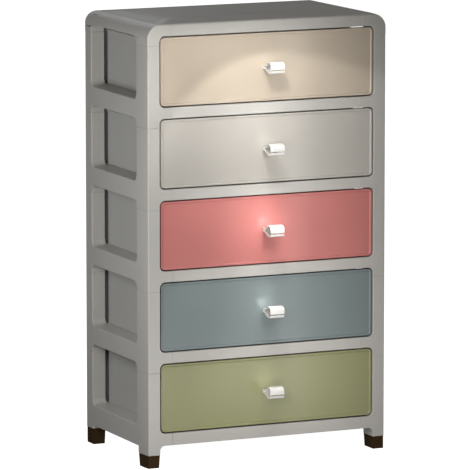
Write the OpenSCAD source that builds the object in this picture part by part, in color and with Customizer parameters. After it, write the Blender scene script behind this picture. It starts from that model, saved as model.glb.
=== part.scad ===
// Five-tier plastic drawer tower: stacked side frames with open windows, rails with shelves between
// the tiers, a crowned top cover, four feet and five drawers that slide out to the front.

/* [Cabinet] */
// Width across the side frames
cabinet_w = 603; // [523:5:703]
// Depth from the front face to the rear edge
cabinet_d = 362; // [330:2:420]
// Thickness of each side frame, which is also the width of the front stiles
side_thick = 33; // [30:1:40]
// Clear height of each drawer opening
opening_h = 162; // [140:1:190]
// Height of the front rails between two openings
rail_h = 25; // [22:1:36]
// Corner radius of each drawer opening
opening_r = 13; // [8:0.5:16]
// Length of the rail ends that belong to the side frames
rail_end_w = 31; // [24:1:50]
// Depth of every front rail, front to back
rail_depth = 28; // [22:1:34]
// Height of the rail under the lowest drawer
bottom_rail_h = 28; // [26:0.5:36]
// Height of the rail over the top drawer, at the front face
top_rail_h = 28; // [26:0.5:36]
// Distance from each opening's top down to the seam between the stacked side frames
seam_drop = 21; // [14:1:28]

/* [Side frames] */
// Wall of the moulded side frames and caps
shell_wall = 3; // [2.5:0.25:4]
// How far the outer face draws in at the front edge
flare_w = 4; // [1:0.5:6]
// Depth over which the outer face draws in
flare_d = 36; // [20:1:44]
// Radius of the front outer edge
front_r = 3; // [1:0.5:4]
// Radius of the rear outer corner
rear_r = 10; // [4:0.5:14]
// Solid stretch at both ends of a post, which holds the stacking pins
post_end = 16; // [14:0.5:20]
// Distance from the front face to the side window
window_front = 58; // [50:1:66]
// Depth of the rear posts, front to back
rear_post_d = 42; // [34:1:60]
// Height of the window's sill above the opening's floor
window_sill = 15.5; // [12:0.5:18]
// Distance from the window's head down from the opening's top
window_head = 4; // [0:0.5:6]
// Corner radius of the side window
window_r = 15; // [8:0.5:20]
// Rise of the sill towards the inside, in degrees
sill_angle = 6; // [2:0.5:8]

/* [Runners and shelves] */
// How far a runner stands in from the side frame
runner_w = 14; // [10:0.5:18]
// Thickness of a runner
runner_thick = 5; // [4:0.5:6]
// Height of a runner's top above the opening's floor
runner_top = 19.5; // [17:0.5:22]
// Distance from the front face to the front end of a runner
runner_front = 30; // [28:1:40]
// Thickness of each shelf
shelf_thick = 3; // [2:0.25:5]
// Depth of the rear rails, front to back
rear_rail_d = 16; // [12:0.5:20]
// Distance of the back panels in from the rear edge
back_inset = 5; // [4:0.5:10]
// Thickness of the back panels
back_thick = 3; // [2:0.25:4]
// Height of the ribs on the back panels
back_rib = 1.5; // [1:0.25:2.5]

/* [Top] */
// How far each top cap stands out past the side frame
cap_overhang = 0.5; // [0.5:0.5:4]
// Radius of the upper outer corners, seen from the front
top_r = 34; // [26:1:34]
// Radius of the upper front edge
top_front_r = 5; // [2:0.5:8]
// Radius of the upper rear edge
top_rear_r = 6; // [2:0.5:8]
// Fall of the top towards the rear, in degrees
top_fall = 0.5; // [0.3:0.1:2]
// Thickness of the cover's rim, let into the caps and the top rail
cover_thick = 3; // [2:0.25:4]
// Distance from the front face and the rear edge to the cover
cover_inset = 12; // [10:0.5:18]
// Gap around the cover's rim
cover_gap = 0.3; // [0.2:0.05:0.6]
// Rise of the cover's crown above the top at its front crest
crown_front = 8.5; // [6:0.5:12]
// Rise of the cover's crown at its rear
crown_rear = 0.8; // [0.5:0.1:4]
// Width of the slope from the cover's front edge up to the crest
crown_slope = 48; // [30:1:60]
// Width of the slope at both sides of the crown
crown_side = 42; // [8:1:60]

/* [Legs and feet] */
// Height of the leg stubs under the bottom rail
leg_h = 21; // [14:0.5:30]
// How much lower the side frames' edge lies than the bottom rail
apron_drop = 4.5; // [2:0.5:8]
// How much higher the rear feet reach up their legs than the front feet
rear_foot_rise = 8; // [4:0.5:10]
// Depth of the front legs, front to back
front_leg_d = 50; // [44:1:54]
// Depth of the rear legs, front to back
rear_leg_d = 44; // [34:1:46]
// Radius where a leg runs into the bottom rail
leg_fillet = 12; // [6:0.5:14]
// Height of each foot
foot_h = 29.5; // [20:0.5:40]
// How much a foot narrows on each face towards the floor
foot_taper = 1.5; // [0.5:0.25:3]
// Distance of a foot in from the faces of its leg
foot_inset = 0.8; // [0.4:0.1:2]
// Radius of the peg that holds a foot in its leg
peg_r = 8; // [6:0.5:9]
// Length of the peg
peg_len = 14; // [10:0.5:16]

/* [Drawer fronts] */
// Gap around a drawer front in its opening
front_gap = 3.25; // [1:0.25:3.5]
// How far a drawer front sits behind the front face
front_recess = 2; // [1:0.5:12]
// Thickness of a drawer front
front_thick = 4; // [3.5:0.25:5]
// Width of the raised lip around a drawer front
lip_w = 5.5; // [4:0.5:8]
// Height of the raised lip
lip_rise = 1.8; // [1:0.2:2.2]
// Depth of the skirt behind a drawer front
skirt_d = 11; // [8:0.5:14]
// Wall of the skirt
skirt_wall = 2.2; // [1.5:0.1:2.4]

/* [Drawer boxes] */
// Gap between a drawer box and each side frame
box_side_gap = 6.5; // [6:0.25:8]
// Wall of a drawer box
box_wall = 2.5; // [2:0.25:3.5]
// Headroom over a drawer box's rim in its opening
box_headroom = 15; // [8:1:40]
// Distance from a drawer box's rim to the back panel
box_back_gap = 18; // [14:1:70]
// How far the rear wall of a drawer box leans in at its foot
box_draft = 13; // [4:1:18]
// Radius of the rear corners of a drawer box
box_r = 25; // [16:1:56]
// How far the rim stands out around a drawer box
rim_w = 2; // [1:0.25:3]
// Height of the rim
rim_h = 4; // [3:0.5:8]
// Gap between a drawer box and its runners
runner_gap = 0.3; // [0.2:0.05:0.5]

/* [Handles] */
// Width of a handle
handle_w = 35; // [30:1:60]
// How far a handle stands out from the drawer front
handle_reach = 58; // [54:1:66]
// Width of the stem that carries a handle
stem_w = 22; // [16:1:24]
// Distance from the drawer front over which the stem keeps its width
stem_len = 17; // [14:0.5:19]
// Wall of a handle
handle_wall = 2.4; // [2:0.1:2.6]
// Half height of the neck where a handle meets the drawer front
neck_half = 4; // [3.5:0.25:4.5]
// Height of the handle's crest above the middle of the drawer front
crest_h = 15.5; // [13:0.5:18]
// Depth of the handle's lip below the middle of the drawer front
chin_h = 11; // [10:0.5:13]
// Height of the slit between the handle's front plate and its lip
slit_h = 2.8; // [2:0.2:3.6]

/* [Fasteners] */
// Radius of the stacking pins
pin_r = 6; // [5:0.25:7]
// Length of the stacking pins
pin_len = 24; // [20:1:26]
// Gap around pins and pegs in their sockets
socket_gap = 0.1; // [0.05:0.05:0.3]
// Radius of the handle screws
screw_r = 1.5; // [1.25:0.25:1.75]
// Length of the handle screws under the head
screw_len = 10; // [9:0.5:11]
// Radius of the screw heads
screw_head_r = 3; // [2.5:0.25:3.5]
// Height of the screw heads
screw_head_h = 2; // [1.5:0.25:2.5]
// Distance between the two screws of a handle
screw_pitch = 10; // [8:1:12]

/* [Hidden] */
$fn = 96;

tiers = 5;
over = 1; // overshoot of a cutting shape past the face that it cuts
thin_fn = 40;

frame_col = "#c9c6c0";
box_col = "#b4b2ad";
back_col = "#8f8d89";
foot_col = "#4a2f1c";
handle_col = "#f4f3f0";
steel_col = "#9a9ca0";
front_cols = ["#d8c9b2", "#c4c0ba", "#d9686c", "#7f949d", "#98a07c"];

// Half width of the opening, and of the whole side frames
inner_x = cabinet_w / 2 - side_thick;
outer_x = cabinet_w / 2;
mid_x = inner_x - rail_end_w;
cap_x = outer_x + cap_overhang;

// How far the handles stand out of the front face, and where the front face lies
field_y = front_recess + lip_rise;
handle_out = handle_reach - field_y;
front_y = -(cabinet_d - handle_out) / 2;

// Heights: the floor of the lowest opening, of every opening, and of the seams between side frames
tier_pitch = opening_h + rail_h;
base_z = foot_h + leg_h + bottom_rail_h;
rear_foot_h = foot_h + rear_foot_rise;
function floor_z(k) = base_z + (tiers - k) * tier_pitch;
function seam_z(k) = floor_z(k) + opening_h - seam_drop;
top_z = floor_z(1) + opening_h + top_rail_h;

// Rear structure, from the front face
back_y = cabinet_d - back_inset - back_thick;
window_rear = cabinet_d - rear_post_d;
window_len = window_rear - window_front;
front_post_y = (rail_depth + window_front) / 2;
rear_post_y = (window_rear + cabinet_d) / 2;
post_x = (inner_x + outer_x) / 2;

// Drawer box
box_x = inner_x - box_side_gap;
box_front = front_recess + front_thick;
box_rear = back_y - box_back_gap;
box_floor = runner_top + runner_gap;
box_top = opening_h - box_headroom;

// Everything is laid out from the front face and then moved so that the origin is in the middle
module placed() {
    translate([0, front_y, 0]) children();
}

// Rounded rectangle with its corner at x, z and true arcs
module rounded_rect(x, z, w, h, r) {
    translate([x + r, z]) square([w - 2 * r, h]);
    translate([x, z + r]) square([w, h - 2 * r]);
    for (cx = [x + r, x + w - r], cz = [z + r, z + h - r]) translate([cx, cz]) circle(r);
}

// A shape drawn in x and z, made solid from y0 to y1
module along_y(y0, y1) {
    translate([0, y1, 0]) rotate([90, 0, 0]) linear_extrude(y1 - y0) children();
}

// A shape drawn in y and z, made solid from x0 to x1
module along_x(x0, x1) {
    translate([x0, 0, 0]) rotate([90, 0, 90]) linear_extrude(x1 - x0) children();
}

// Inside corner between two straight edges that meet at the origin and run to +x and +z
module corner_fillet(r) {
    difference() {
        translate([-over, -over]) square(r + over);
        translate([r, r]) circle(r);
    }
}

// ---- Side frames ----

// Plan of the right side frame, from its inner face out to x
module side_plan(x) {
    lean = atan2(flare_w, flare_d);
    cut = front_r * tan(45 - lean / 2);
    polygon([
        [inner_x, 0], [x - flare_w - cut, 0], [x - flare_w + cut * sin(lean), cut * cos(lean)],
        [x, flare_d], [x, cabinet_d - rear_r], [x - rear_r, cabinet_d], [inner_x, cabinet_d]
    ]);
    translate([x - flare_w - cut, front_r]) circle(front_r);
    translate([x - rear_r, cabinet_d - rear_r]) circle(rear_r);
}

// The window of one tier, tilted so that its sill rises towards the inside
module side_window(k) {
    h = opening_h - window_head - window_sill;
    translate([outer_x, window_front, floor_z(k) + window_sill]) rotate([0, sill_angle, 0])
        along_x(-2 * side_thick, side_thick) rounded_rect(0, 0, window_len, h, window_r);
}

// Front end of a rail: from the middle piece out to the post, with the corners of the openings
module rail_end(z0, z1, r_below) {
    along_y(0, rail_depth) {
        translate([mid_x, z0]) square([rail_end_w + over, z1 - z0]);
        translate([inner_x, z1]) mirror([1, 0]) corner_fillet(opening_r);
        translate([inner_x, z0]) mirror([1, 0]) mirror([0, 1]) corner_fillet(r_below);
    }
}

// Stretch of a post that is left hollow between its solid ends, open to the inside
module post_pocket(y0, y1, z0, z1) {
    translate([inner_x - over, y0, z0])
        cube([side_thick - shell_wall - flare_w + over, y1 - y0, z1 - z0]);
}

// Socket for a stacking pin, centred on a seam
module pin_socket(y, z) {
    translate([post_x, y, z]) cylinder(h = pin_len + 2 * socket_gap, r = pin_r + socket_gap, center = true);
}

// Socket for the peg of a foot, up from the foot's top
module peg_socket(y, z) {
    translate([post_x, y, z - over])
        cylinder(h = peg_len + socket_gap + over, r = peg_r + socket_gap);
}

module runner(k) {
    translate([inner_x - runner_w, runner_front, floor_z(k) + runner_top - runner_thick])
        cube([runner_w + over, back_y - runner_front, runner_thick]);
}

// Right side frame of tier k, from the seam below to the seam above
module side_frame(k) {
    lowest = k == tiers;
    z_low = lowest ? foot_h : seam_z(k + 1);
    z_high = seam_z(k);
    rail_z0 = lowest ? base_z - bottom_rail_h : floor_z(k) - rail_h;
    band_z0 = lowest ? rail_z0 : floor_z(k + 1) + opening_h - window_head + side_thick * tan(sill_angle);
    difference() {
        union() {
            translate([0, 0, z_low]) linear_extrude(z_high - z_low) side_plan(outer_x);
            rail_end(rail_z0, floor_z(k), lowest ? leg_fillet : opening_r);
            runner(k);
        }
        side_window(k);
        if (lowest) {
            translate([inner_x - over, front_leg_d, 0])
                cube([side_thick + 2 * over, cabinet_d - front_leg_d - rear_leg_d, rail_z0 - apron_drop]);
            translate([inner_x - over, cabinet_d - rear_leg_d - over, 0])
                cube([side_thick + 2 * over, rear_leg_d + 2 * over, rear_foot_h]);
            peg_socket(front_leg_d / 2, foot_h);
            peg_socket(cabinet_d - rear_leg_d / 2, rear_foot_h);
        } else {
            side_window(k + 1);
            for (y = [front_post_y, rear_post_y]) pin_socket(y, z_low);
        }
        for (y = [front_post_y, rear_post_y]) pin_socket(y, z_high);
        pocket_z0 = lowest ? rear_foot_h + peg_len + shell_wall : z_low + post_end;
        post_pocket(rail_depth, window_front - shell_wall, pocket_z0, z_high - post_end);
        post_pocket(window_rear + shell_wall, back_y - shell_wall, pocket_z0, z_high - post_end);
        post_pocket(window_front + shell_wall, window_rear - shell_wall,
            lowest ? band_z0 : band_z0 + shell_wall, floor_z(k) + window_sill - shell_wall - runner_thick);
    }
}

module left_of() {
    mirror([1, 0, 0]) children();
}

module side_frame_part(k) {
    color(frame_col) placed() side_frame(k);
}

// ---- Top ----

// Turned so that the top falls to the rear, with the origin on the upper front edge
module top_plane() {
    translate([0, 0, top_z]) rotate([-top_fall, 0, 0]) children();
}

// Block of the whole cabinet under the falling top, with rounded upper corners and edges
module top_block() {
    deep = 2 * tier_pitch;
    front = top_front_r;
    rear = cabinet_d * cos(top_fall) - top_rear_r;
    top_plane() intersection() {
        along_y(-cabinet_d, 2 * cabinet_d) {
            translate([-cap_x + top_r, -deep]) square([2 * (cap_x - top_r), deep]);
            translate([-cap_x, -deep]) square([2 * cap_x, deep - top_r]);
            for (x = [-cap_x + top_r, cap_x - top_r]) translate([x, -top_r]) circle(top_r);
        }
        along_x(-cap_x - over, cap_x + over) {
            translate([front, -deep]) square([rear - front, deep]);
            translate([-cabinet_d, -deep]) square([cabinet_d + front, deep - top_front_r]);
            translate([rear, -deep]) square([cabinet_d, deep - top_rear_r]);
            translate([front, -top_front_r]) circle(top_front_r);
            translate([rear, -top_rear_r]) circle(top_rear_r);
        }
    }
}

// Outer surface of the right cap near the front, where it draws in: the same rounded corner, turned
module flare_block() {
    deep = 2 * tier_pitch;
    translate([cap_x, flare_d, 0]) rotate([0, 0, -atan2(flare_w, flare_d)]) translate([0, 0, top_z])
        along_y(-cabinet_d, 2 * cabinet_d) {
            translate([-2 * cap_x, -deep]) square([2 * cap_x - top_r, deep + over]);
            translate([-2 * cap_x, -deep]) square([2 * cap_x, deep - top_r]);
            translate([-top_r, -top_r]) circle(top_r);
        }
}

cover_x = cap_x - top_r - flare_w;

// Rebate that the cover lies in
module cover_rebate() {
    top_plane() translate([-cover_x, cover_inset, -cover_thick])
        cube([2 * cover_x, cabinet_d - 2 * cover_inset, 2 * cover_thick]);
}

module cap_right() {
    z0 = seam_z(1);
    opening_top = floor_z(1) + opening_h;
    difference() {
        intersection() {
            union() {
                translate([0, 0, z0]) linear_extrude(top_z - z0) side_plan(cap_x);
                along_y(0, back_y) translate([mid_x, opening_top])
                    square([rail_end_w + over, top_rail_h]);
                along_y(0, rail_depth) translate([inner_x, opening_top])
                    mirror([1, 0]) mirror([0, 1]) corner_fillet(opening_r);
            }
            top_block();
            flare_block();
        }
        side_window(1);
        for (y = [front_post_y, rear_post_y]) pin_socket(y, z0);
        cover_rebate();
        translate([mid_x - over, rail_depth, opening_top + shell_wall])
            cube([cap_x - shell_wall - top_r * (1 - cos(45)) - mid_x,
                back_y - rear_rail_d - rail_depth,
                top_rail_h - cover_thick - 2 * shell_wall - cabinet_d * sin(top_fall)]);
    }
}

module top_cap_part() {
    color(frame_col) placed() cap_right();
}

// Front and rear top rails joined by ribs that carry the cover
module top_frame() {
    z0 = floor_z(1) + opening_h;
    rib_w = shell_wall;
    color(frame_col) placed() difference() {
        intersection() {
            union() {
                translate([-mid_x, 0, z0]) cube([2 * mid_x, rail_depth, top_rail_h]);
                translate([-mid_x, back_y - rear_rail_d, z0])
                    cube([2 * mid_x, rear_rail_d, top_rail_h]);
                for (x = [-mid_x / 2, 0, mid_x / 2])
                    translate([x - rib_w / 2, rail_depth - over, z0 + shell_wall])
                        cube([rib_w, back_y - rear_rail_d - rail_depth + 2 * over, top_rail_h]);
            }
            top_block();
        }
        cover_rebate();
    }
}

// Crown of the cover, grown by g inwards from the outer surface
module crown(g) {
    y0 = cover_inset + cover_gap;
    y1 = cabinet_d - cover_inset - cover_gap;
    x1 = cover_x - cover_gap;
    top_plane() intersection() {
        along_x(-x1, x1) polygon([
            [y0 + g, -cover_thick - over], [y0 + g, -g], [y0 + crown_slope + g, crown_front - g],
            [y1 - crown_side, crown_rear - g], [y1 - g, -g], [y1 - g, -cover_thick - over]
        ]);
        along_y(0, cabinet_d) polygon([
            [-x1 + g, -cover_thick - over], [-x1 + g, -g], [-x1 + crown_side + g, crown_front - g],
            [x1 - crown_side - g, crown_front - g], [x1 - g, -g], [x1 - g, -cover_thick - over]
        ]);
    }
}

module top_cover() {
    color(frame_col) placed() difference() {
        crown(0);
        crown(shell_wall);
        top_plane() translate([-cap_x, 0, -cover_thick - 2 * over]) cube([2 * cap_x, cabinet_d, 2 * over]);
    }
}

// ---- Rails, shelves and back ----

// Front rail, rear rail and shelf under one opening
module rail_and_shelf(z, h) {
    shelf_z = z - (h + shelf_thick) / 2;
    color(frame_col) placed() {
        translate([-mid_x, 0, z - h]) cube([2 * mid_x, rail_depth, h]);
        translate([-inner_x, back_y - rear_rail_d, z - h]) cube([2 * inner_x, rear_rail_d, h]);
        translate([-inner_x, rail_depth, shelf_z])
            cube([2 * inner_x, back_y - rear_rail_d - rail_depth, shelf_thick]);
        translate([-mid_x, rail_depth - over, shelf_z])
            cube([2 * mid_x, 2 * over, shelf_thick]);
        translate([-inner_x, back_y - rear_rail_d - over, shelf_z])
            cube([2 * inner_x, 2 * over, shelf_thick]);
    }
}

module back_panel(k) {
    z0 = k == tiers ? floor_z(k) - bottom_rail_h / 2 : floor_z(k) - rail_h / 2;
    z1 = k == 1 ? floor_z(k) + opening_h + rail_h / 2 : floor_z(k - 1) - rail_h / 2;
    rib_pitch = inner_x / 3;
    color(back_col) placed() {
        translate([-inner_x, back_y, z0]) cube([2 * inner_x, back_thick, z1 - z0]);
        for (i = [-2:2]) translate([i * rib_pitch - back_thick, back_y + back_thick - over, z0 + rail_h])
            cube([2 * back_thick, back_rib + over, z1 - z0 - 2 * rail_h]);
    }
}

// Pins that hold each side frame on the one below
module stacking_pins() {
    color(steel_col) placed() for (k = [1:tiers], x = [-post_x, post_x], y = [front_post_y, rear_post_y])
        translate([x, y, seam_z(k)]) cylinder(h = pin_len, r = pin_r, center = true);
}

// ---- Feet ----

// Right foot from y0 to y1 and h high, narrowed towards the floor, with its peg
module foot(y0, y1, h) {
    ya = y0 + foot_inset;
    yb = y1 - foot_inset;
    xa = inner_x + foot_inset;
    xb = outer_x - foot_inset;
    t = foot_taper;
    intersection() {
        along_x(xa, xb) polygon([[ya, h], [yb, h], [yb - t, 0], [ya + t, 0]]);
        along_y(ya, yb) polygon([[xa, h], [xb, h], [xb - t, 0], [xa + t, 0]]);
        linear_extrude(h) intersection() {
            translate([xa, ya]) square([xb - xa, yb - ya]);
            side_plan(outer_x - foot_inset);
        }
    }
    translate([post_x, (y0 + y1) / 2, h - over]) cylinder(h = peg_len + over, r = peg_r);
}

module front_foot() {
    color(foot_col) placed() foot(0, front_leg_d, foot_h);
}

module rear_foot() {
    color(foot_col) placed() foot(cabinet_d - rear_leg_d, cabinet_d, rear_foot_h);
}

// ---- Drawers ----

// Outline of a drawer front, drawn in by g on every side
module front_outline(g) {
    w = inner_x - front_gap - g;
    h = opening_h - 2 * front_gap - 2 * g;
    rounded_rect(-w, front_gap + g, 2 * w, h, opening_r - front_gap - g / 2);
}

module screw_places(k) {
    for (x = [-screw_pitch / 2, screw_pitch / 2])
        translate([x, field_y, floor_z(k) + opening_h / 2]) rotate([-90, 0, 0]) children();
}

module drawer_front(k) {
    skirt_rear = box_front + skirt_d;
    color(front_cols[k - 1]) placed() difference() {
        translate([0, 0, floor_z(k)]) along_y(front_recess, skirt_rear) front_outline(0);
        translate([0, 0, floor_z(k)]) along_y(box_front, skirt_rear + over) front_outline(skirt_wall);
        translate([0, 0, floor_z(k)]) along_y(front_recess - over, field_y) front_outline(lip_w);
        screw_places(k) cylinder(h = 4 * front_thick, r = screw_r + socket_gap, center = true, $fn = thin_fn);
    }
}

// Plan of a drawer box with rounded rear corners, drawn in by g
module box_plan(g, y_front) {
    w = box_x - g;
    r = box_r - g;
    translate([-w, y_front]) square([2 * w, box_rear - g - r - y_front]);
    translate([-w + r, y_front]) square([2 * (w - r), box_rear - g - y_front]);
    for (x = [-w + r, w - r]) translate([x, box_rear - g - r]) circle(r);
}

// Body of a drawer box, drawn in by g and open above, with its rear wall leaning in
module box_body(g, y_front) {
    z1 = box_top + (g > 0 ? over : 0);
    lean = box_draft / (box_top - box_floor);
    intersection() {
        translate([0, 0, box_floor + g]) linear_extrude(z1 - box_floor - g) box_plan(g, y_front);
        along_x(-box_x - rim_w, box_x + rim_w) polygon([
            [0, box_floor], [box_rear - g - box_draft, box_floor],
            [box_rear - g + lean * (z1 - box_top), z1], [0, z1]
        ]);
    }
}

module drawer_box(k) {
    rim_front = box_front + skirt_d + front_gap;
    color(box_col) placed() difference() {
        translate([0, 0, floor_z(k)]) difference() {
            union() {
                box_body(0, box_front);
                translate([0, 0, box_top - rim_h]) linear_extrude(rim_h) box_plan(-rim_w, rim_front);
            }
            box_body(box_wall, box_front + box_wall);
        }
        screw_places(k) cylinder(h = 8 * box_wall, r = screw_r + socket_gap, center = true, $fn = thin_fn);
    }
}

// Point on a cubic curve
function curve_point(p, t) =
    pow(1 - t, 3) * p[0] + 3 * t * pow(1 - t, 2) * p[1] + 3 * t * t * (1 - t) * p[2] + pow(t, 3) * p[3];
function curve(p, n) = [for (i = [0:n]) curve_point(p, i / n)];

// Side profile of a handle, x standing out from the drawer front and y up: one bent strip whose
// front plate and lip leave a slit between them
module handle_profile() {
    r = handle_reach;
    w = handle_wall;
    slit_mid = -3.2;
    plate_low = slit_mid + slit_h / 2;
    lip_top = slit_mid - slit_h / 2;
    crotch = stem_len + 3;
    roll_x = r - 13;
    lip_x = r - 1;
    steps = 10;
    top_out = curve([[0, neck_half], [18, neck_half], [26, crest_h], [roll_x, crest_h]], steps);
    roll_out = curve([[roll_x, crest_h], [r - 4, crest_h], [r, crest_h - 6], [r, 3]], steps);
    roll_in = curve([[r - w, 3], [r - w, crest_h - 7], [r - 5, crest_h - w], [roll_x, crest_h - w]], steps);
    top_in = curve([[roll_x, crest_h - w], [30, crest_h - w], [24, neck_half - 2], [crotch, 0.6]], steps);
    low_in = curve([[crotch, -0.6], [28, -0.6], [32, -chin_h + w], [lip_x - w - 3, -chin_h + w]], steps);
    low_out = curve([[lip_x - 3, -chin_h], [30, -chin_h], [22, -neck_half], [0, -neck_half]], steps);
    polygon(concat(
        top_out, roll_out, [[r, plate_low], [r - w, plate_low]], roll_in, top_in, low_in,
        [[lip_x - w, -chin_h + w + 2], [lip_x - w, lip_top], [lip_x, lip_top], [lip_x, -chin_h + 3]],
        low_out
    ));
}

// Plan of a handle: the narrow stem and the wide loop in front of it
module handle_plan() {
    widen = (handle_w - stem_w) / 3;
    polygon([
        [-stem_w / 2, 0], [-stem_w / 2, -stem_len], [-handle_w / 2, -stem_len - widen],
        [-handle_w / 2, -handle_reach - over], [handle_w / 2, -handle_reach - over],
        [handle_w / 2, -stem_len - widen], [stem_w / 2, -stem_len], [stem_w / 2, 0]
    ]);
}

module handle(k) {
    color(handle_col) placed() difference() {
        translate([0, field_y, floor_z(k) + opening_h / 2]) intersection() {
            translate([-handle_w / 2, 0, 0]) rotate([90, 0, 90])
                linear_extrude(handle_w) mirror([1, 0]) handle_profile();
            translate([0, 0, -2 * crest_h]) linear_extrude(4 * crest_h) handle_plan();
        }
        screw_places(k) translate([0, 0, front_thick - screw_len])
            cylinder(h = 2 * screw_len, r = screw_r + socket_gap, $fn = thin_fn);
    }
}

// Two pan-head screws that come through the drawer from the inside
module handle_screws(k) {
    head_y = box_front + box_wall - field_y;
    color(steel_col) placed() screw_places(k) {
        translate([0, 0, head_y - screw_len + socket_gap])
            cylinder(h = screw_len, r = screw_r, $fn = thin_fn);
        translate([0, 0, head_y]) cylinder(h = screw_head_h, r = screw_head_r, $fn = thin_fn);
    }
}

top_cover();
top_frame();
left_of() top_cap_part();  // top_cap_left
top_cap_part();  // top_cap_right
for (k = [1:tiers]) {
    left_of() side_frame_part(k);
    side_frame_part(k);
    back_panel(k);
    drawer_front(k);
    drawer_box(k);
    handle(k);
    handle_screws(k);
}
for (k = [1:tiers - 1])
    rail_and_shelf(floor_z(k), rail_h);
rail_and_shelf(base_z, bottom_rail_h);  // base_frame
stacking_pins();
left_of() front_foot();  // foot_front_left
front_foot();  // foot_front_right
left_of() rear_foot();  // foot_rear_left
rear_foot();  // foot_rear_right
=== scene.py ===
# %% [markdown]
# # A five-drawer plastic tower
# The drawer tower arrives as an exact model: every side frame, rail, drawer and foot already has
# its size, its place and its joint. This lesson gives that model the look of moulded plastic.
# Edges are softened, the drawer fronts, handles and top cover are modelled again with rounder
# forms, and each kind of plastic gets its own finish. The first cell loads the model, and
# defines how the box of any of its nodes is read.

import math

import bmesh
import bpy
from mathutils import Matrix, Vector


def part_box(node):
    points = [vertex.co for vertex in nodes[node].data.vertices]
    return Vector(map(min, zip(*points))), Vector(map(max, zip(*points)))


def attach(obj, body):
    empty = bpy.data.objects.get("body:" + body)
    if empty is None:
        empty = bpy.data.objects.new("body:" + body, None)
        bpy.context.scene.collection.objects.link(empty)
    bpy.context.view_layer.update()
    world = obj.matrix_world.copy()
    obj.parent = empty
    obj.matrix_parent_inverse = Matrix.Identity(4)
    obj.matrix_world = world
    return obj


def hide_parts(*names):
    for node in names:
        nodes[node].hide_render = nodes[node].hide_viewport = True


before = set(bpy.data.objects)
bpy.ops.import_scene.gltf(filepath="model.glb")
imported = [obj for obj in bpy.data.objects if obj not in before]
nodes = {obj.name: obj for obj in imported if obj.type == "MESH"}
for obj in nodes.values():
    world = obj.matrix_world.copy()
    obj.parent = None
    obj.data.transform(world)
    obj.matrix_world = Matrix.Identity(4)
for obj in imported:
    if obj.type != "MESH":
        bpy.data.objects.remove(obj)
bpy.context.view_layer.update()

TIERS = range(1, 6)                      # tier 1 is the top drawer
SIDES = ("left", "right")

# %% [markdown]
# ## Reading sizes off the model
# A maker measures the carcass before cutting the trim. Each piece below takes its place from the
# box of the node that it stands for, so a drawer front that is modelled here closes its own
# opening. The few sizes that a box does not tell, such as the width of a lip, are written once,
# in millimetres, where they are first needed.

# %% Main sizes
MM = 0.001
side_low, side_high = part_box("side_frame_right_3")
FACE_Y = side_low.y                      # the front face of the cabinet
OUTER_X = side_high.x                    # the outer face of the side frames
print("front face at y =", round(FACE_Y, 4), " outer face at x =", round(OUTER_X, 4))

# %% [markdown]
# ## Working like a hand at the mouse
# Blender's operators act on whatever is selected. So each job starts by deselecting everything,
# then makes one piece active. Inside edit mode, faces and edges are found by a test on their
# place or direction, as a modeller would point at them. The helpers in the next cells are all
# that the modelling needs.

# %% Select, and start a block
def only(piece):
    """Leaves one piece selected and active, in object mode."""
    if bpy.context.object and bpy.context.object.mode != "OBJECT":
        bpy.ops.object.mode_set(mode="OBJECT")
    bpy.ops.object.select_all(action="DESELECT")
    if piece:
        piece.select_set(True)
        bpy.context.view_layer.objects.active = piece


def block(name, low, high):
    """A cube primitive stretched over the box from low to high."""
    only(None)
    low, high = Vector(low), Vector(high)
    bpy.ops.mesh.primitive_cube_add(size=1.0, location=(low + high) / 2, scale=high - low)
    piece = bpy.context.object
    piece.name = name
    bpy.ops.object.transform_apply(location=True, rotation=True, scale=True)
    return piece


# %% Point at faces or edges
def pick(kind, test):
    """In edit mode: selects each face or edge that passes the test, and tells how many did."""
    bpy.ops.mesh.select_mode(type=kind)
    bpy.ops.mesh.select_all(action="DESELECT")
    shape = bmesh.from_edit_mesh(bpy.context.object.data)
    found = [part for part in (shape.faces if kind == "FACE" else shape.edges) if test(part)]
    for part in found:
        part.select_set(True)
    bmesh.update_edit_mesh(bpy.context.object.data)
    return len(found)


def front_to_back(edge):
    """True for an edge that runs along y."""
    run = edge.verts[1].co - edge.verts[0].co
    return run.length > 0 and abs(run.y) > 0.99 * run.length


# %% Round the sharp edges
def soften(piece, width, segments=3, angle=32.0, clamp=True, smooth=38.0):
    """Bevels each edge sharper than the angle; shading is smooth, but large faces stay flat."""
    only(piece)
    bevel = piece.modifiers.new("rounded edges", "BEVEL")
    bevel.width, bevel.segments = width, segments
    bevel.limit_method, bevel.angle_limit = "ANGLE", math.radians(angle)
    bevel.use_clamp_overlap = clamp
    bevel.miter_outer = "MITER_ARC" if clamp else "MITER_SHARP"
    bpy.ops.object.modifier_apply(modifier=bevel.name)
    bpy.ops.object.shade_smooth_by_angle(angle=math.radians(smooth))
    flats = piece.modifiers.new("flat faces stay flat", "WEIGHTED_NORMAL")
    flats.keep_sharp = True
    bpy.ops.object.modifier_apply(modifier=flats.name)
    return piece


# %% Copy a finished piece
def repeat(piece, name, offset):
    """A copy with its own mesh, moved in its mesh so that its object stays at the origin."""
    twin = bpy.data.objects.new(name, piece.data.copy())
    bpy.context.scene.collection.objects.link(twin)
    twin.data.transform(Matrix.Translation(offset))
    return twin


# %% [markdown]
# ## Moulded frames
# The side frames are one injection moulding per tier, and no moulding has knife edges: steel
# moulds are rounded so that the plastic fills and releases. The exact model has the right faces
# but sharp arrises. Each frame is copied, its loose triangles are merged and joined into flat
# faces again, the outer rim of the big windows gets the wide round-over that catches a line of
# light, and every other arris gets a small one. Modelling the frames anew from blocks would give
# the same faces with more work and less certainty.

# %% Copy an exact node and join its triangles
SAME_POINT = 2e-6                        # points closer than this, in metres, are merged
SAME_PLANE = math.radians(0.4)           # faces that meet at less than this become one


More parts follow.
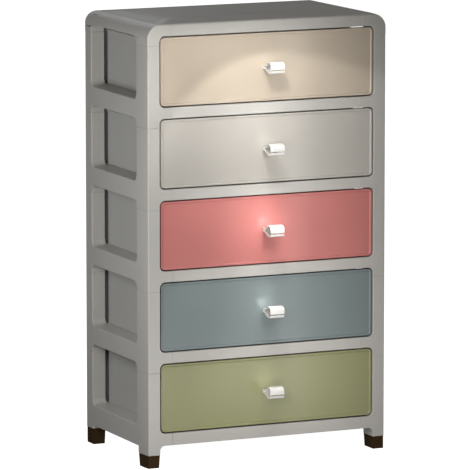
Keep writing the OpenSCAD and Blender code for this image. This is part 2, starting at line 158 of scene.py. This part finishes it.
def moulded_copy(node, name):
    """A copy of an exact node, which it replaces, with whole flat faces instead of triangles."""
    piece = bpy.data.objects.new(name, nodes[node].data.copy())
    bpy.context.scene.collection.objects.link(piece)
    only(piece)
    bpy.ops.object.mode_set(mode="EDIT")
    bpy.ops.mesh.select_all(action="SELECT")
    bpy.ops.mesh.remove_doubles(threshold=SAME_POINT)
    bpy.ops.mesh.dissolve_limited(angle_limit=SAME_PLANE)
    bpy.ops.object.mode_set(mode="OBJECT")
    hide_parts(node)
    return piece


# %% Nothing grows past the exact piece
def keep_inside(piece, node):
    """Moves vertices that a bevel pushed past the exact node's box back onto it."""
    low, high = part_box(node)
    for vertex in piece.data.vertices:
        vertex.co = [min(max(c, a), b) for c, a, b in zip(vertex.co, low, high)]


# %% The windows' outer rims
RIM_ROUND = 2.6 * MM                     # the wide round at the rim of a window
POSTS_Y = (FACE_Y + 50 * MM, FACE_Y + 330 * MM)  # the windows lie between the posts
CLOSE = 1e-5                             # how near, in metres, counts as the same height
SHARP = 0.5                              # a rim's faces meet at more than this, in radians


def round_window_rims(piece, face_x):
    """Bevels the edges between the outer face and the window cuts, but not the posts' seams."""
    only(piece)
    bpy.ops.object.mode_set(mode="EDIT")
    heights = [v.co.z for v in piece.data.vertices]
    ends = (min(heights), max(heights))

    def rim(edge):
        a, b = (v.co for v in edge.verts)
        on_face = all(abs(abs(v.x) - face_x) < 2 * CLOSE for v in (a, b))
        between = all(POSTS_Y[0] < v.y < POSTS_Y[1] for v in (a, b))
        seam = any(abs(a.z - z) < CLOSE and abs(b.z - z) < CLOSE for z in ends)
        corner = len(edge.link_faces) == 2 and edge.calc_face_angle(0) > SHARP
        return on_face and between and not seam and corner

    found = pick("EDGE", rim)
    if found:
        bpy.ops.mesh.bevel(offset=RIM_ROUND, segments=4, affect="EDGES", clamp_overlap=False)
    bpy.ops.object.mode_set(mode="OBJECT")
    return found


# %% The side frames
EDGE_ROUND = 0.9 * MM                    # the small round on every other arris
frames = []
for side in SIDES:
    for k in TIERS:
        frame_piece = moulded_copy(f"side_frame_{side}_{k}", f"moulded_frame_{side}_{k}")
        rims = round_window_rims(frame_piece, OUTER_X)
        soften(frame_piece, EDGE_ROUND, segments=2, clamp=False)
        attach(frame_piece, "cabinet")
        frames.append(frame_piece)
print("moulded frames:", len(frames), " rim edges on the last:", rims,
      " faces:", len(frames[-1].data.polygons))

# %% The top caps
cap_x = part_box("top_cap_right")[1].x
for side in SIDES:
    cap = moulded_copy(f"top_cap_{side}", f"moulded_cap_{side}")
    round_window_rims(cap, cap_x)
    soften(cap, EDGE_ROUND, segments=2, clamp=False)
    keep_inside(cap, f"top_cap_{side}")
    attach(cap, "cabinet")
    frames.append(cap)
print("caps:", [len(p.data.polygons) for p in frames[-2:]])

# %% [markdown]
# ## Rails and shelves
# Between two tiers a rail runs across the front, and a thin shelf behind it keeps dust out of
# the drawer below. The rail's face is flush with the frames, so only the rounded ends show where
# one moulding stops and the next begins. The exact pieces are copied once more, since a rounded
# arris is all that they lack.

# %% Rails, shelves and the top frame
for node in [f"shelf_{k}" for k in range(1, 5)] + ["base_frame", "top_frame"]:
    rail = moulded_copy(node, f"moulded_{node}")
    soften(rail, EDGE_ROUND, segments=2, clamp=False)
    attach(rail, "cabinet")
    frames.append(rail)
print("rails:", [p.name for p in frames[-6:]])

# %% [markdown]
# ## The crowned cover
# The cover is a shallow cushion: from the front it slopes up to a crest, then falls away gently
# to the rear, so that water and pens roll off. It starts as a flat block. Its top face is inset
# by the width of the slope, lifted by the height of the crest and let down at the rear, and the
# creases are then bevelled wide so that the light rolls over. A bevel keeps the broad field
# flat, which a subdivided cushion would not.

# %% Cover from a block
SLOPE_W = 42 * MM                        # width of the sloping edge, seen from above
RIM_H = 5.2 * MM                         # height of the upright rim
CREST_PLAY = 0.2 * MM                    # the crest stays this far under the exact top
CREST_BACK = 6 * MM                      # the crest lies this much further back
FIELD_FALL = 9.8 * MM                    # how far the field falls to the rear
RIM_FALL = 2.9 * MM                      # how far the rim falls there
cover_low, cover_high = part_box("top_cover")
rim_z = cover_low.z + RIM_H
crest_y, rear_y = cover_low.y + SLOPE_W, cover_high.y - SLOPE_W
cover = block("crowned_cover", cover_low, (cover_high.x, cover_high.y, rim_z))


def on_field(edge, y):
    """True for an edge of the raised field that lies at y."""
    return all(v.co.z > rim_z + MM and abs(v.co.y - y) < MM for v in edge.verts)


# %% Raise the field and let its rear down
bpy.ops.object.mode_set(mode="EDIT")
pick("FACE", lambda face: face.normal.z > 0.9)
bpy.ops.mesh.inset(thickness=SLOPE_W)
bpy.ops.transform.translate(value=(0, 0, cover_high.z - rim_z - CREST_PLAY))
pick("EDGE", lambda edge: on_field(edge, crest_y))
bpy.ops.transform.translate(value=(0, CREST_BACK, 0))
pick("EDGE", lambda edge: on_field(edge, rear_y))
bpy.ops.transform.translate(value=(0, 0, -FIELD_FALL))
pick("EDGE", lambda edge: all(abs(v.co.z - rim_z) < CLOSE and v.co.y > rear_y
                              for v in edge.verts))
bpy.ops.transform.translate(value=(0, 0, -RIM_FALL))

# %% Roll the creases
CREASE_ROUND = 13 * MM                   # the wide bevel on the cover's creases
GENTLE = (0.02, 0.9)                     # a crease bends between these angles, in radians
creases = pick("EDGE", lambda edge: len(edge.link_faces) == 2
               and GENTLE[0] < edge.calc_face_angle(0) < GENTLE[1])
bpy.ops.mesh.bevel(offset=CREASE_ROUND, segments=6, affect="EDGES", clamp_overlap=True)
bpy.ops.object.mode_set(mode="OBJECT")
soften(cover, 0.8 * MM, segments=2, angle=40)
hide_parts("top_cover")
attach(cover, "cabinet")
print("cover creases:", creases, " highest:", round(max(v.co.z for v in cover.data.vertices), 4),
      " may reach:", round(cover_high.z, 4))

# %% [markdown]
# ## A drawer front
# Each front is a thin tray turned on its face: a flat field, a raised lip all round, and a skirt
# behind that stiffens it. It could be cut from the exact node like the frames. It is modelled
# anew instead, because its lip wants a soft rounded section and the field a shallow groove at
# its foot, and five copies then share one careful shape.

# %% Front from a block
LIP_W, LIP_RISE = 5.5 * MM, 1.8 * MM     # raised lip round a drawer front
LIP_SLOPE = 1.6 * MM                     # width of the sloping wall inside the lip
GROOVE_W, GROOVE_D = 1.3 * MM, 0.6 * MM  # shallow groove at the foot of the lip
FRONT_CORNER = 9.75 * MM                 # corner radius of a drawer front
front_low, front_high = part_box("drawer_front_3")
drawer_front = block("panel_3", front_low, front_high)
bpy.ops.object.mode_set(mode="EDIT")
pick("EDGE", front_to_back)
bpy.ops.mesh.bevel(offset=FRONT_CORNER, segments=10, affect="EDGES")
pick("FACE", lambda face: face.normal.y < -0.9)
bpy.ops.mesh.inset(thickness=LIP_W - LIP_SLOPE)
bpy.ops.mesh.inset(thickness=LIP_SLOPE)
bpy.ops.transform.translate(value=(0, LIP_RISE + GROOVE_D, 0))
bpy.ops.mesh.inset(thickness=GROOVE_W)
bpy.ops.transform.translate(value=(0, -GROOVE_D, 0))
print("drawer front, m:", [round(v, 4) for v in front_high - front_low])

# %% Skirt behind the front
SKIRT_WALL, SKIRT_D = 2.2 * MM, 11 * MM  # the skirt's wall, and its depth
pick("FACE", lambda face: face.normal.y > 0.9)
bpy.ops.mesh.inset(thickness=SKIRT_WALL)
bpy.ops.mesh.extrude_region_move(TRANSFORM_OT_translate={"value": (0, -SKIRT_D, 0)})
bpy.ops.object.mode_set(mode="OBJECT")
soften(drawer_front, 0.6 * MM, segments=2, angle=25)
print("faces of the front:", len(drawer_front.data.polygons))

# %% Five fronts
OTHER_TIERS = (1, 2, 4, 5)               # pieces are modelled on tier 3 and copied to these
fronts = {3: drawer_front}
for k in OTHER_TIERS:
    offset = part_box(f"drawer_front_{k}")[0] - front_low
    fronts[k] = repeat(drawer_front, f"panel_{k}", offset)
for k in TIERS:
    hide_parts(f"drawer_front_{k}")
    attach(fronts[k], f"drawer_{k}")
print("drawer fronts:", len(fronts), [piece.name for piece in fronts.values()])

# %% [markdown]
# ## A looped handle
# The handle is one strip of white plastic bent into a ring: it leaves the drawer on a narrow
# stem, widens, rolls over the top into a flat front plate, and a second leaf comes back under it
# as a lip, leaving a slit that a label or a finger passes through. A strip is best grown from
# its end: a short edge is extruded step by step along the bend, each step widened where the stem
# opens out, and Solidify then gives the sheet its wall.

# %% The bend as a row of steps
HANDLE_WALL, STEM_HALF, LOOP_HALF = 2.4, 11.0, 17.5  # wall and half widths, in millimetres


def bend(a, b, c, d, steps):
    """Points along a smooth bend from a to d, in millimetres out from the drawer and up."""
    points = []
    for i in range(1, steps + 1):
        t = i / steps
        w = ((1 - t) ** 3, 3 * t * (1 - t) ** 2, 3 * t * t * (1 - t), t ** 3)
        points.append(tuple(sum(wi * p[n] for wi, p in zip(w, (a, b, c, d))) for n in (0, 1)))
    return points


def half_width(out, flare):
    """Half the strip's width so far out; it widens between the two distances of the flare."""
    t = min(1.0, max(0.0, (out - flare[0]) / (flare[1] - flare[0])))
    return STEM_HALF + (LOOP_HALF - STEM_HALF) * t * t * (3 - 2 * t)


# %% The two leaves, seen from the side
handle_low, handle_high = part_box("handle_3")
ROOT_Y = handle_high.y                   # where the handle meets the drawer front
MID_Z = handle_low.z + 11 * MM           # the middle of the drawer front
UPPER_LEAF = ([(2.0, 3.2), (8.0, 3.2)]
              + bend((8, 3.2), (24, 3.2), (27.5, 14.3), (45, 14.3), 12)
              + bend((45, 14.3), (53.0, 14.3), (56.8, 10.5), (56.8, 4.5), 10)
              + [(56.8, 1.2), (56.8, -1.8)])
LOWER_LEAF = ([(2.0, -3.2)]
              + bend((2, -3.2), (14, -3.6), (30, -9.8), (50, -9.8), 14)
              + bend((50, -9.8), (54, -9.8), (55.8, -8.8), (55.8, -6.4), 5)
              + [(55.8, -4.6)])
print("upper leaf:", len(UPPER_LEAF), "points; lower leaf:", len(LOWER_LEAF))

# %% Grow a leaf of the handle
FIRST = 2.0                              # length of the strip that a leaf grows from


def leaf(name, points, flare):
    """A plane primitive whose front edge is extruded from point to point."""
    only(None)
    out, up = points[0]
    middle = (0, ROOT_Y - (out - FIRST / 2) * MM, MID_Z + up * MM)
    bpy.ops.mesh.primitive_plane_add(size=1.0, location=middle)
    piece = bpy.context.object
    piece.name = name
    piece.scale = (2 * STEM_HALF * MM, FIRST * MM, 1)
    bpy.ops.object.transform_apply(location=True, rotation=True, scale=True)
    bpy.ops.object.mode_set(mode="EDIT")
    front = ROOT_Y - out * MM
    pick("EDGE", lambda edge: all(abs(v.co.y - front) < 1e-6 for v in edge.verts))
    width = half_width(out, flare)
    for new_out, new_up in points[1:]:
        step = (0, -(new_out - out) * MM, (new_up - up) * MM)
        bpy.ops.mesh.extrude_region_move(TRANSFORM_OT_translate={"value": step})
        wider = half_width(new_out, flare)
        if wider != width:
            bpy.ops.transform.resize(value=(wider / width, 1, 1))
        out, up, width = new_out, new_up, wider
    bpy.ops.mesh.select_all(action="SELECT")
    bpy.ops.mesh.normals_make_consistent(inside=False)
    bpy.ops.object.mode_set(mode="OBJECT")
    wall = piece.modifiers.new("wall", "SOLIDIFY")
    wall.thickness, wall.offset, wall.use_even_offset = HANDLE_WALL * MM, 0.0, True
    bpy.ops.object.modifier_apply(modifier=wall.name)
    return piece


# %% Both leaves and the stem
STEM_D, STEM_RISE = 7 * MM, 4.4 * MM     # the stem's depth, and half its height
upper = leaf("handle_upper_leaf", UPPER_LEAF, (34.0, 43.0))
lower = leaf("handle_lower_leaf", LOWER_LEAF, (6.0, 44.0))
stem = block("ring_3", (-STEM_HALF * MM, ROOT_Y - STEM_D, MID_Z - STEM_RISE),
             (STEM_HALF * MM, ROOT_Y, MID_Z + STEM_RISE))
print("leaf faces:", len(upper.data.polygons), len(lower.data.polygons))

# %% Join them into one handle, and copy it
for part, width in ((upper, 0.8), (lower, 0.8), (stem, 1.2)):
    soften(part, width * MM, segments=3, angle=50, smooth=45)
only(stem)
upper.select_set(True)
lower.select_set(True)
bpy.ops.object.join()
handles = {3: stem}
for k in OTHER_TIERS:
    handles[k] = repeat(stem, f"ring_{k}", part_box(f"handle_{k}")[0] - handle_low)
for k in TIERS:
    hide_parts(f"handle_{k}")
    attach(handles[k], f"drawer_{k}")
print("handles:", len(handles), " faces each:", len(stem.data.polygons))

# %% [markdown]
# ## Drawer boxes and feet
# Seen through the windows, a drawer box is a plain wall with a turned-out rim. The feet are dark
# blocks that push into the legs. Both keep the exact shape and only need their arrises rounded,
# so both are moulded copies again.

# %% Boxes and feet
boxes, feet = {}, []
for k in TIERS:
    boxes[k] = moulded_copy(f"drawer_box_{k}", f"bin_{k}")
    soften(boxes[k], 0.8 * MM, segments=2, clamp=False)
    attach(boxes[k], f"drawer_{k}")
for corner in ("front_left", "front_right", "rear_left", "rear_right"):
    foot = soften(moulded_copy(f"foot_{corner}", f"pad_{corner}"), 1.6 * MM)
    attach(foot, "cabinet")
    feet.append(foot)
print("boxes:", len(boxes), " feet:", len(feet))

# %% [markdown]
# ## Shader maths that reads like maths
# A finish is mostly arithmetic: a base colour, times a little mottling, plus a little dust.
# Wiring Math nodes by hand hides that, so a small class wraps one socket and gives it the usual
# operators. `1 - mask` then adds a Subtract node. Colours go through Mix nodes, because a Math
# node would turn them grey.

# %% A socket that can be added and multiplied
class Wire:
    """One output socket of a material's node tree."""

    def __init__(self, finish, socket):
        self.finish, self.socket = finish, socket

    def _math(self, operation, a, b):
        return self.finish.add("ShaderNodeMath", {"operation": operation}, {0: a, 1: b})

    def __add__(self, other): return self._math("ADD", self, other)
    def __radd__(self, other): return self._math("ADD", other, self)
    def __sub__(self, other): return self._math("SUBTRACT", self, other)
    def __rsub__(self, other): return self._math("SUBTRACT", other, self)
    def __mul__(self, other): return self._math("MULTIPLY", self, other)
    def __rmul__(self, other): return self._math("MULTIPLY", other, self)


# %% A material under construction
class Finish:
    """A new material with its Principled shader, and one method that adds any other node."""

    def __init__(self, name, **sockets):
        self.material = bpy.data.materials.new(name)
        self.material.use_nodes = True
        self.tree = self.material.node_tree
        self.shader = self.tree.nodes["Principled BSDF"]
        for socket, value in sockets.items():
            self.feed(socket.replace("_", " "), value)
        self.place = self.add("ShaderNodeTexCoord", {}, {}, out="Object")

    def feed(self, name, value):
        self._set(self.shader.inputs[name], value)

    def _set(self, socket, value):
        if isinstance(value, Wire):
            self.tree.links.new(value.socket, socket)
        elif isinstance(value, tuple) and len(value) == 3 and socket.type == "RGBA":
            socket.default_value = (*value, 1.0)
        else:
            socket.default_value = value

    def add(self, kind, settings, inputs, out=0):
        """Adds a node: its settings, then its sockets' values or links. Gives one output."""
        node = self.tree.nodes.new(kind)
        for key, value in settings.items():
            if key == "stops":
                ramp = node.color_ramp.elements
                while len(ramp) < len(value):
                    ramp.new(1.0)
                for element, (position, level) in zip(ramp, value):
                    element.position, element.color = position, (level, level, level, 1.0)
            else:
                setattr(node, key, value)
        for key, value in inputs.items():
            self._set(node.inputs[key], value)
        return Wire(self, node.outputs[out])

    def noise(self, scale, detail, stretch=None):
        """Soft noise from 0 to 1; stretch squeezes it along an axis, for flow lines."""
        place = self.place
        if stretch:
            place = self.add("ShaderNodeMapping", {}, {"Vector": place, "Scale": stretch})
        return self.add("ShaderNodeTexNoise", {}, {"Vector": place, "Scale": scale,
                                                   "Detail": detail, "Roughness": 0.5}, out="Fac")

    def ramp(self, value, *stops):
        return self.add("ShaderNodeValToRGB", {"stops": stops}, {"Fac": value}, out="Color")

    def blend(self, amount, a, b):
        """Colour a where amount is 0, colour b where it is 1."""
        node = self.tree.nodes.new("ShaderNodeMix")
        node.data_type = "RGBA"
        for index, value in ((0, amount), (6, a), (7, b)):
            self._set(node.inputs[index], value)
        return Wire(self, node.outputs[2])

    def bump(self, height, distance, strength, under=None):
        """A normal raised by a height; under is a normal that lies below it."""
        inputs = {"Height": height, "Distance": distance, "Strength": strength}
        if under is not None:
            inputs["Normal"] = under
        return self.add("ShaderNodeBump", {}, inputs, out="Normal")


# %% Colours, and giving a finish to pieces
def shade(colour, factor):
    """A colour made darker or lighter, worked out in Python."""
    return tuple(min(1.0, c * factor) for c in colour)


def paint(material, *pieces):
    """Gives one material to every face of each piece."""
    for piece in pieces:
        piece.data.materials.clear()
        piece.data.materials.append(material)
        for face in piece.data.polygons:
            face.material_index = 0


# %% [markdown]
# ## The cabinet's plastic
# The side frames, rails and cover are injection-moulded polypropylene in a warm light grey. It
# is satin, not glossy: light spreads in a wide soft sheen. Close up the surface has the faint
# orange peel of the mould, streaks where the melt flowed, and a slightly uneven gloss where
# hands and dust have been. Each of those is one noise at its own scale. An image texture would
# need the pieces unwrapped and would repeat; noise on the object's own coordinates needs neither
# care. The back panels stay exact, and take a duller version of the same finish in a darker
# grey. That darker grey is painted shade, so that the cavity behind the drawers looks dark
# through the windows.

# %% Satin cabinet plastic
def cabinet_plastic(name, colour, gloss=0.42, shine=0.45):
    """Mottled and flow-streaked colour, uneven roughness, and two sizes of orange peel."""
    f = Finish(name, Specular_IOR_Level=shine)
    mottling = f.noise(9.0, 3.0)
    flow = f.noise(38.0, 2.0, stretch=(1.0, 1.0, 0.12))
    speck = f.ramp(f.noise(900.0, 1.0), (0.66, 0.0), (0.74, 1.0))
    base = f.blend(mottling, shade(colour, 0.965), shade(colour, 1.03))
    base = f.blend(flow * 0.35, base, shade(colour, 0.94))
    f.feed("Base Color", f.blend(speck * 0.12, base, shade(colour, 0.8)))
    f.feed("Roughness", gloss + (mottling - 0.5) * 0.12 + (flow - 0.5) * 0.08)
    skin = f.bump(f.noise(420.0, 2.0), 0.00006, 0.55)
    f.feed("Normal", f.bump(f.noise(26.0, 1.0), 0.00035, 0.35, under=skin))
    return f.material


# %% Paint the cabinet
cabinet = cabinet_plastic("cabinet_satin_grey", (0.486, 0.465, 0.427))
# The back panels' darker grey is painted shade for the dark cavity behind the drawers.
back_grey_painted_shade = cabinet_plastic("back_matt_painted_shade_grey", (0.30, 0.295, 0.28), gloss=0.6)
paint(cabinet, *frames, cover)
paint(back_grey_painted_shade, *[nodes[f"back_panel_{k}"] for k in TIERS])
print("cabinet finishes:", cabinet.name, back_grey_painted_shade.name)

# %% [markdown]
# ## Drawer fronts and handles
# The coloured fronts and the white handles come out of polished moulds, so they are smoother
# than the cabinet: a lower roughness, a very fine peel and hardly any mottling. Five colours of
# one plastic differ in the pigment alone, so one function makes them all.

# %% Polished plastic
def front_plastic(name, colour):
    """Lightly mottled, semi-gloss plastic with a fine peel."""
    f = Finish(name, Specular_IOR_Level=0.5, Coat_Roughness=0.22)
    mottling = f.noise(7.0, 3.0)
    f.feed("Base Color", f.blend(mottling, shade(colour, 0.97), shade(colour, 1.03)))
    f.feed("Roughness", 0.34 + (mottling - 0.5) * 0.08)
    f.feed("Normal", f.bump(f.noise(500.0, 2.0), 0.00004, 0.5))
    return f.material


# %% Paint the fronts and handles
FRONT_COLOURS = {                        # cream, greige, coral, blue grey and olive
    1: (0.508, 0.428, 0.334), 2: (0.459, 0.428, 0.383), 3: (0.543, 0.187, 0.169),
    4: (0.192, 0.229, 0.226), 5: (0.290, 0.287, 0.145)}
for k in TIERS:
    paint(front_plastic(f"front_{k}", FRONT_COLOURS[k]), fronts[k])
white = front_plastic("handle_white", (0.72, 0.70, 0.665))
paint(white, *handles.values())
print("polished finishes:", len(FRONT_COLOURS) + 1)

# %% [markdown]
# ## Boxes, feet and steel
# The drawer boxes and the feet are the cabinet's plastic in other pigments, so they reuse its
# function; the feet are dark and dull, with little shine. The pins and screws hide inside, but
# they still get the plain zinc that they would have, in case a drawer is pulled out.

# %% Paint the small parts
box_plastic = cabinet_plastic("bin_grey", (0.436, 0.429, 0.402), gloss=0.45)
paint(box_plastic, *boxes.values())
brown = cabinet_plastic("foot_brown", (0.045, 0.025, 0.010), gloss=0.45, shine=0.05)
paint(brown, *feet)
steel = Finish("zinc_plate", Base_Color=(0.62, 0.62, 0.64), Metallic=1.0, Roughness=0.35)
paint(steel.material, nodes["stacking_pins"], *[nodes[f"handle_screws_{k}"] for k in TIERS])
print("finishes:", len(bpy.data.materials))

# %% [markdown]
# ## Floor and background
# The tower is shown on a plain white sweep. A lit floor would need its own lamps to stay evenly
# white, so it glows by itself, and it is hidden from diffuse and glossy rays so that it throws
# nothing back. The world is white to the camera but dim to the object, which gets its shape from
# lamps instead.

# %% Floor
bpy.ops.mesh.primitive_plane_add(size=30.0, location=(0, 0, -0.5 * MM))
floor = bpy.context.object
floor.name = "floor"
floor_white = Finish("floor_white", Roughness=0.9, Base_Color=(0.9, 0.9, 0.9),
                     Emission_Color=(1.0, 1.0, 1.0), Emission_Strength=1.0)
floor.data.materials.append(floor_white.material)
floor.visible_diffuse = False
floor.visible_glossy = False
print("floor, m:", round(floor.dimensions.x), "by", round(floor.dimensions.y))

# %% World
FILL = 0.108                             # the dim light from all round
world = bpy.data.worlds.new("studio")
bpy.context.scene.world = world
world.use_nodes = True
background = world.node_tree.nodes["Background"]
background.inputs["Color"].default_value = (1, 1, 1, 1)
path = world.node_tree.nodes.new("ShaderNodeLightPath")
seen = world.node_tree.nodes.new("ShaderNodeMath")
seen.operation = "MULTIPLY_ADD"
seen.inputs[1].default_value = 1.0 - FILL
seen.inputs[2].default_value = FILL
world.node_tree.links.new(path.outputs["Is Camera Ray"], seen.inputs[0])
world.node_tree.links.new(seen.outputs[0], background.inputs["Strength"])
print("world fill:", FILL)

# %% [markdown]
# ## Wide lamps
# Large soft lamps shape the tower as a whole: a big one from the front left is the main light,
# two on the left keep the side a shade darker than the front, two above lay a sheen on the
# cover, and small low ones lift the foot of the cabinet. Rectangles are used because their size
# alone sets how soft a shadow's edge is.

# %% Two kinds of lamp
def lamp_at(kind, name, place, target, power):
    """A lamp at a place that shines at a target and that the camera does not see."""
    bpy.ops.object.light_add(type=kind, location=place)
    lamp = bpy.context.object
    lamp.name = name
    lamp.data.energy = power
    lamp.visible_camera = False
    towards = Vector(target) - lamp.location
    lamp.rotation_euler = towards.to_track_quat("-Z", "Y").to_euler()
    return lamp.data


def softbox(name, place, target, size, power, spread=180, colour=None):
    """A rectangular lamp; a spread under 180 degrees keeps its light together."""
    light = lamp_at("AREA", name, place, target, power)
    light.shape = "RECTANGLE"
    light.size, light.size_y = size
    light.spread = math.radians(spread)
    if colour:
        light.color = colour


def spot(name, place, target, power, cone, radius, blend):
    """A small round lamp with a soft-edged cone."""
    light = lamp_at("SPOT", name, place, target, power)
    light.spot_size, light.spot_blend = math.radians(cone), blend
    light.shadow_soft_size = radius


# %% Wide lamps
F = FACE_Y                               # a short name for the tables below
COOL = (0.98, 1.0, 1.03)                 # the faint blue of the left and upper lamps
WIDE_LAMPS = {                           # place, target, size, power, spread and colour
    "front_left": ((-1.0, F - 1.2, 0.8), (-0.3, F, 0.47), (0.5, 0.5), 5.94, 180, None),
    "left_middle": ((-1.1, -0.45, 0.6), (-0.3, 0, 0.5), (0.3, 0.3), 2.9, 180, COOL),
    "left_high": ((-1.1, -0.45, 1.0), (-0.3, 0, 0.5), (0.3, 0.3), 1.07, 180, COOL),
    "above": ((0, 0, 2.2), (0, 0, 1), (0.8, 0.8), 2.1, 180, COOL),
    "above_rear": ((0, 1.5, 2.0), (0, 0, 1), (0.8, 0.8), 3.8, 180, COOL),
    "low_left": ((-0.25, F - 0.6, 0.08), (-0.25, F, 0.2), (0.3, 0.1), 1.52, 180, None),
    "low_right": ((0.25, F - 0.6, 0.08), (0.25, F, 0.2), (0.3, 0.1), 0.5, 180, None),
    "stile_high": ((-0.28, F - 0.18, 0.9), (-0.28, F, 0.9), (0.04, 0.3), 0.2, 140, None),
    "strip_right": ((0.15, F - 0.18, 0.55), (0.15, F, 0.55), (0.04, 1.0), 0.23, 140, None),
}
for name, settings in WIDE_LAMPS.items():
    softbox(name, *settings)
print("wide lamps:", len(WIDE_LAMPS))

# %% [markdown]
# ## Small lamps at the handles
# Each handle stands in its own glow: a pool with a clear arched edge on the top drawer, a soft
# halo or beam on the others, and a small shadow under the loop. Those come from little lamps
# near each handle. They are placed from the handle's root, so one line describes the same lamp
# for every tier that has it, and only its power differs. One large lamp could not do this: its
# light would reach all five fronts alike.

# %% Washes
panel_y = front_low.y + LIP_RISE
mid_z = {k: sum(corner.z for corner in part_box(f"drawer_front_{k}")) / 2 for k in TIERS}
for k, power in ((1, 0.072), (3, 0.048), (4, 0.042)):
    softbox(f"wash_{k}", (-0.05, F - 0.12, mid_z[k] + 0.10), (-0.02, F, mid_z[k]),
            (0.35, 0.03), power, 120)
print("front plane of the fields, m:", round(panel_y, 4))

# %% Spots
HANDLE_SPOTS = {    # place and target from the root, cone, radius, blend, and power by tier
    "pool_above": ((-0.18, -0.348, 0.26), (0.29, -1.009), 79, 0.01, 0.12, {1: 4.8}),
    "pool_left": ((-0.12, -0.248, 0.25), (0.174, -1.259), 78.2, 0.008, 0.08, {1: 0.7}),
    "halo": ((-0.08, -0.45, 0.06), (-0.03, 0.01), 44, 0.05, 1.0, {1: 3.16, 2: 3.79, 3: 1.15}),
    "beam": ((-0.03, -0.20, 0.09), (-0.02, 0.0), 62, 0.02, 1.0, {3: 0.82, 4: 0.36}),
    "beam_left": ((-0.14, -0.22, 0.10), (-0.05, 0.0), 80, 0.02, 1.0, {5: 0.34}),
    "glow": ((-0.04, -0.11, 0.12), (-0.005, 0.02), 80, 0.012, 1.0, {2: 0.168}),
    "shade_slim": ((-0.012, -0.075, 0.10), (-0.004, -0.03), 50, 0.006, 1.0, {2: 0.06}),
    "shade": ((-0.012, -0.075, 0.10), (-0.004, -0.03), 75, 0.006, 1.0,
              {3: 0.26, 4: 0.21, 5: 0.11}),
    "root": ((-0.004, -0.021, 0.015), (-0.004, 0.010), 165, 0.007, 1.0,
             {1: 0.0044, 2: 0.0072, 3: 0.0149, 4: 0.0193, 5: 0.0077}),
}
for name, ((x, y, z), (to_x, to_z), cone, radius, blend, powers) in HANDLE_SPOTS.items():
    for k, power in powers.items():
        spot(f"{name}_{k}", (x, F + y, mid_z[k] + z), (to_x, panel_y, mid_z[k] + to_z),
             power, cone, radius, blend)
print("lamps in all:", len(bpy.data.lights))

# %% [markdown]
# ## Camera
# The tower is seen from far off to its front left and a little above, through a long lens, so
# its upright edges stay nearly parallel. The angles are plain numbers instead of a target to
# point at, so the view does not turn when a size of the tower changes.

# %% Camera
TILT, TURN = 8.817, 24.374               # degrees down, and round to the left
bpy.ops.object.camera_add(
    location=(-4.6897, FACE_Y - 10.1696, 2.2574),
    rotation=(math.radians(90 - TILT), 0, math.radians(-TURN)))
camera = bpy.context.object
camera.data.lens = 380.0
camera.data.sensor_width = 36.0
camera.data.clip_start, camera.data.clip_end = 0.1, 60.0
bpy.context.scene.camera = camera
bpy.context.scene.view_settings.view_transform = "Standard"
print("camera at:", [round(v, 3) for v in camera.location])
